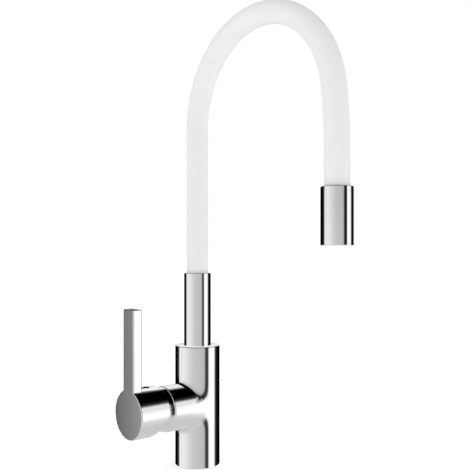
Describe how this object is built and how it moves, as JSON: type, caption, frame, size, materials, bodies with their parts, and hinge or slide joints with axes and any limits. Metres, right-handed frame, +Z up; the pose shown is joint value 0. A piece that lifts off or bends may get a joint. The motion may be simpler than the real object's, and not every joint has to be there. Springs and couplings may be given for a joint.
{
  "type": "kitchen faucet",
  "caption": "Single-lever kitchen faucet with a round column, a side lever on a ball dome and a bendable white hose neck that swivels and ends in a chrome outlet.",
  "frame": {"origin": "centre of the column's underside, on the worktop", "axes": "+Z up along the column, -Y the way the spout reaches at rest, -X along the side arm to the lever"},
  "size_m": [0.1081, 0.2336, 0.4587],
  "materials": {
    "chrome_plate": "bright chrome plate on brass or zinc",
    "turned_brass": "turned brass",
    "stainless_steel": "plain stainless steel",
    "link_steel": "oiled steel",
    "alumina_ceramic": "lapped ceramic",
    "acetal_plastic": "moulded",
    "black_rubber": "moulded",
    "white_silicone": "matt, extruded",
    "hose_plastic": "extruded",
    "plug_plastic": "moulded"
  },
  "bodies": {
    "root": {"tap_body": "chrome_plate", "base_gasket": "black_rubber", "cartridge_base": "acetal_plastic", "port_seals": "black_rubber", "fixed_ceramic_disc": "alumina_ceramic", "cartridge_housing": "acetal_plastic", "cartridge_nut": "turned_brass", "dome_cover": "chrome_plate", "swivel_bush": "acetal_plastic", "spout_keeper_screw": "stainless_steel"},
    "turret": {"spindle_carrier": "acetal_plastic", "spindle_pin": "stainless_steel"},
    "disc": {"moving_ceramic_disc": "alumina_ceramic", "disc_follower": "acetal_plastic"},
    "lever": {"lever_handle": "chrome_plate", "cartridge_spindle": "stainless_steel", "lever_grub_screw": "stainless_steel", "screw_plug": "plug_plastic"},
    "spout": {"spout_sleeve": "chrome_plate", "swivel_stem": "turned_brass", "stem_o_rings": "black_rubber", "lower_ferrule": "stainless_steel", "silicone_hose": "white_silicone", "inner_water_hose": "hose_plastic", "neck_link_1": "link_steel"},
    "neck_2": {"neck_link_2": "link_steel"},
    "neck_3": {"neck_link_3": "link_steel"},
    "neck_4": {"neck_link_4": "link_steel"},
    "neck_5": {"neck_link_5": "link_steel"},
    "neck_6": {"neck_link_6": "link_steel"},
    "head": {"neck_link_7": "link_steel", "upper_ferrule": "stainless_steel", "outlet_housing": "chrome_plate", "outlet_nipple": "turned_brass", "aerator_seal": "black_rubber", "aerator_ring": "chrome_plate", "aerator_mesh": "acetal_plastic", "aerator_insert": "acetal_plastic"}
  },
  "joints": [
    {"name": "lever_turn", "type": "hinge", "parent": "root", "child": "turret", "pos_m": [0, 0, 0.0623], "axis": [-1, 0, 0], "range_deg": [-50, 50]},
    {"name": "lever_lift", "type": "hinge", "parent": "turret", "child": "lever", "pos_m": [-0.045, 0, 0.0623], "axis": [0, -1, 0], "range_deg": [0, 25]},
    {"name": "disc_slide", "type": "slide", "parent": "turret", "child": "disc", "axis": [0, 0, 1], "range_m": [0, 0.005]},
    {"name": "spout_swivel", "type": "hinge", "parent": "root", "child": "spout", "pos_m": [0, 0, 0.11], "axis": [0, 0, 1], "continuous": true},
    {"name": "neck_nod_1", "type": "hinge", "parent": "spout", "child": "neck_2", "pos_m": [0, 0, 0.228], "axis": [1, 0, 0], "range_deg": [-12, 15], "deforming": ["silicone_hose", "inner_water_hose"]},
    {"name": "neck_sway_2", "type": "hinge", "parent": "neck_2", "child": "neck_3", "pos_m": [0, 0, 0.308], "axis": [0, -1, 0], "range_deg": [-15, 15], "deforming": ["silicone_hose", "inner_water_hose"]},
    {"name": "neck_nod_3", "type": "hinge", "parent": "neck_3", "child": "neck_4", "pos_m": [0, -0.00687, 0.38712], "axis": [1, 0, 0], "range_deg": [-18, 12], "deforming": ["silicone_hose", "inner_water_hose"]},
    {"name": "neck_sway_4", "type": "hinge", "parent": "neck_4", "child": "neck_5", "pos_m": [0, -0.06238, 0.44153], "axis": [0, -0.3523, -0.9359], "range_deg": [-15, 15], "deforming": ["silicone_hose", "inner_water_hose"]},
    {"name": "neck_nod_5", "type": "hinge", "parent": "neck_5", "child": "neck_6", "pos_m": [0, -0.13998, 0.43723], "axis": [1, 0, 0], "range_deg": [-20, 12], "deforming": ["silicone_hose", "inner_water_hose"]},
    {"name": "neck_sway_6", "type": "hinge", "parent": "neck_6", "child": "head", "pos_m": [0, -0.18913, 0.37702], "axis": [0, 0.964, -0.2661], "range_deg": [-15, 15], "deforming": ["silicone_hose", "inner_water_hose"]}
  ],
  "couplings": [
    {"joint": "disc_slide", "follows": "lever_lift", "m_per_rad": 0.01124}
  ]
}
